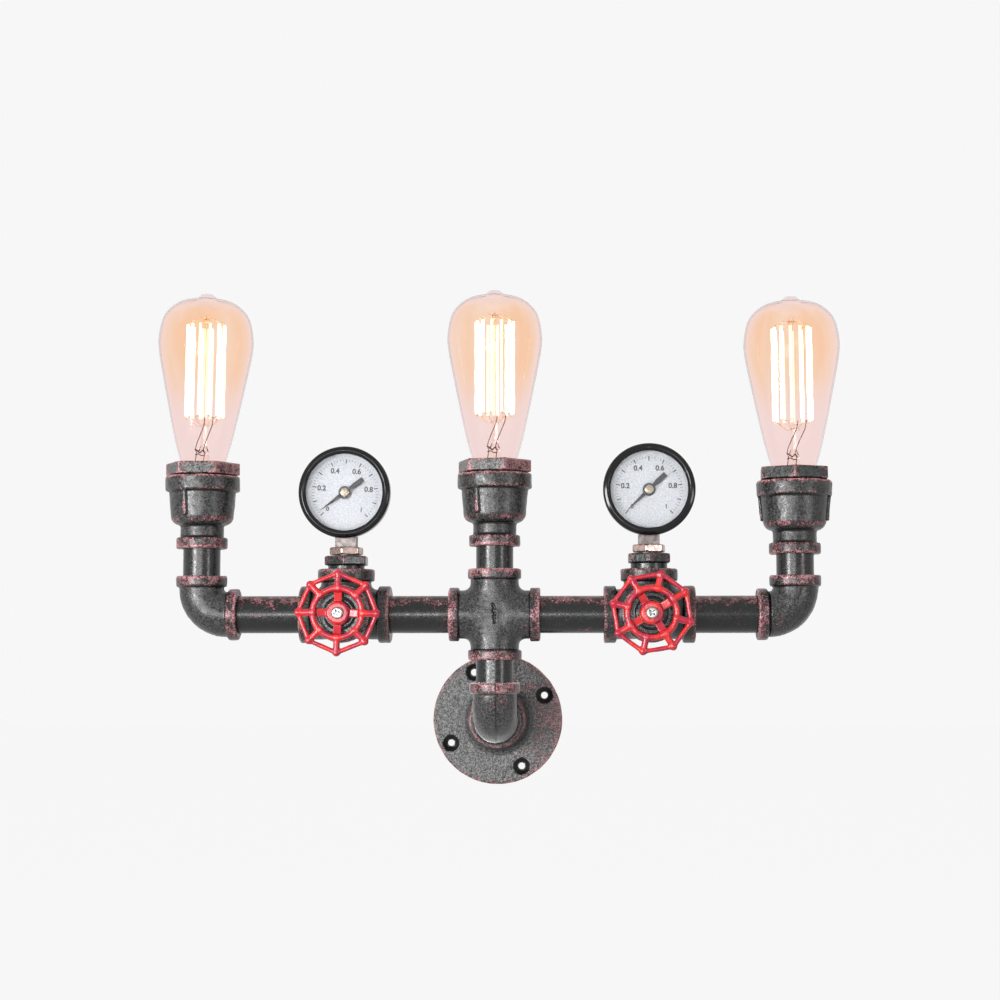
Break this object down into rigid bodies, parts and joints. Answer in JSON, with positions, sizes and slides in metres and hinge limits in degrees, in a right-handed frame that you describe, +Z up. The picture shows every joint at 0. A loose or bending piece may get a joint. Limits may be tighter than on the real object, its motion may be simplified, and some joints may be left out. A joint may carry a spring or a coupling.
{
  "type": "pipe wall light",
  "caption": "Wall light of screwed pipe fittings with upright filament lamps, dial gauges and valve handwheels on a round wall flange.",
  "frame": {"origin": "centre of the wall flange's back face, on the wall", "axes": "+X to the right of someone facing the wall, +Y into the wall, +Z up"},
  "size_m": [0.4971, 0.118, 0.3609],
  "materials": {
    "antique_iron": "painted near-black, rubbed back to copper red on the edges",
    "antique_pipe": "satin near-black with copper-red patches",
    "ceramic": "matt unglazed",
    "shell_brass": "bright rolled",
    "contact_brass": "bright",
    "bulb_glass": "clear, amber tinted",
    "bulb_cap": "bright rolled",
    "filament": "glass stem and glowing wire",
    "gauge_black": "gloss black",
    "gauge_case": "worn black over red",
    "gauge_window": "clear",
    "dial_white": "matt off-white with printed scale",
    "pointer_black": "satin black on a brass hub",
    "socket_steel": "dull, worn",
    "nut_brass": "worn copper-pink brass",
    "valve_iron": "satin near-black",
    "spindle_steel": "turned",
    "wheel_red": "gloss red enamel, worn at the edges",
    "screw_steel": "bright zinc",
    "lead_sheath": "matt",
    "block_plastic": "matt"
  },
  "bodies": {
    "pipe_frame": {"wall_flange": "antique_iron", "wall_elbow": "antique_iron", "cross_fitting": "antique_iron", "left_tee": "antique_iron", "right_tee": "antique_iron", "left_elbow": "antique_iron", "right_elbow": "antique_iron", "flange_nipple": "antique_pipe", "riser_nipple": "antique_pipe", "centre_nipple": "antique_pipe", "left_nipple": "antique_pipe", "right_nipple": "antique_pipe", "left_inner_pipe": "antique_pipe", "right_inner_pipe": "antique_pipe", "left_outer_pipe": "antique_pipe", "right_outer_pipe": "antique_pipe", "left_reducer": "antique_iron", "left_bush": "antique_iron", "centre_reducer": "antique_iron", "centre_bush": "antique_iron", "right_reducer": "antique_iron", "right_bush": "antique_iron", "lamp_holders": "ceramic", "screw_shells": "shell_brass", "centre_contacts": "contact_brass", "left_gauge_bush": "valve_iron", "left_gauge_nut": "nut_brass", "left_gauge_socket": "socket_steel", "left_gauge_case": "gauge_case", "left_gauge_bezel": "gauge_black", "left_gauge_window": "gauge_window", "left_gauge_dial": "dial_white", "left_valve_bonnet": "valve_iron", "right_gauge_bush": "valve_iron", "right_gauge_nut": "nut_brass", "right_gauge_socket": "socket_steel", "right_gauge_case": "gauge_case", "right_gauge_bezel": "gauge_black", "right_gauge_window": "gauge_window", "right_gauge_dial": "dial_white", "right_valve_bonnet": "valve_iron", "lamp_leads": "lead_sheath", "terminal_block": "block_plastic"},
    "left_wheel": {"left_valve_spindle": "spindle_steel", "left_handwheel": "wheel_red", "left_wheel_screw": "screw_steel"},
    "left_pointer": {"left_gauge_pointer": "pointer_black"},
    "right_wheel": {"right_valve_spindle": "spindle_steel", "right_handwheel": "wheel_red", "right_wheel_screw": "screw_steel"},
    "right_pointer": {"right_gauge_pointer": "pointer_black"},
    "left_bulb": {"left_bulb_glass": "bulb_glass", "left_bulb_cap": "bulb_cap", "left_filament_mount": "filament"},
    "centre_bulb": {"centre_bulb_glass": "bulb_glass", "centre_bulb_cap": "bulb_cap", "centre_filament_mount": "filament"},
    "right_bulb": {"right_bulb_glass": "bulb_glass", "right_bulb_cap": "bulb_cap", "right_filament_mount": "filament"}
  },
  "joints": [
    {"name": "left_wheel_turn", "type": "hinge", "parent": "pipe_frame", "child": "left_wheel", "pos_m": [-0.1074, -0.0622, 0.0767], "axis": [0, 1, 0], "continuous": true},
    {"name": "right_wheel_turn", "type": "hinge", "parent": "pipe_frame", "child": "right_wheel", "pos_m": [0.111, -0.0622, 0.0767], "axis": [0, 1, 0], "continuous": true},
    {"name": "left_pointer_swing", "type": "hinge", "parent": "pipe_frame", "child": "left_pointer", "pos_m": [-0.1074, -0.0622, 0.1641], "axis": [0, 1, 0], "range_deg": [0, 260.8], "stiffness_Nm_per_rad": 0.004},
    {"name": "right_pointer_swing", "type": "hinge", "parent": "pipe_frame", "child": "right_pointer", "pos_m": [0.111, -0.0622, 0.1656], "axis": [0, 1, 0], "range_deg": [0, 268.2], "stiffness_Nm_per_rad": 0.004},
    {"name": "left_bulb_out", "type": "slide", "parent": "pipe_frame", "child": "left_bulb", "axis": [0, 0, 1], "range_m": [0, 0.04]},
    {"name": "centre_bulb_out", "type": "slide", "parent": "pipe_frame", "child": "centre_bulb", "axis": [0, 0, 1], "range_m": [0, 0.04]},
    {"name": "right_bulb_out", "type": "slide", "parent": "pipe_frame", "child": "right_bulb", "axis": [0, 0, 1], "range_m": [0, 0.04]}
  ]
}
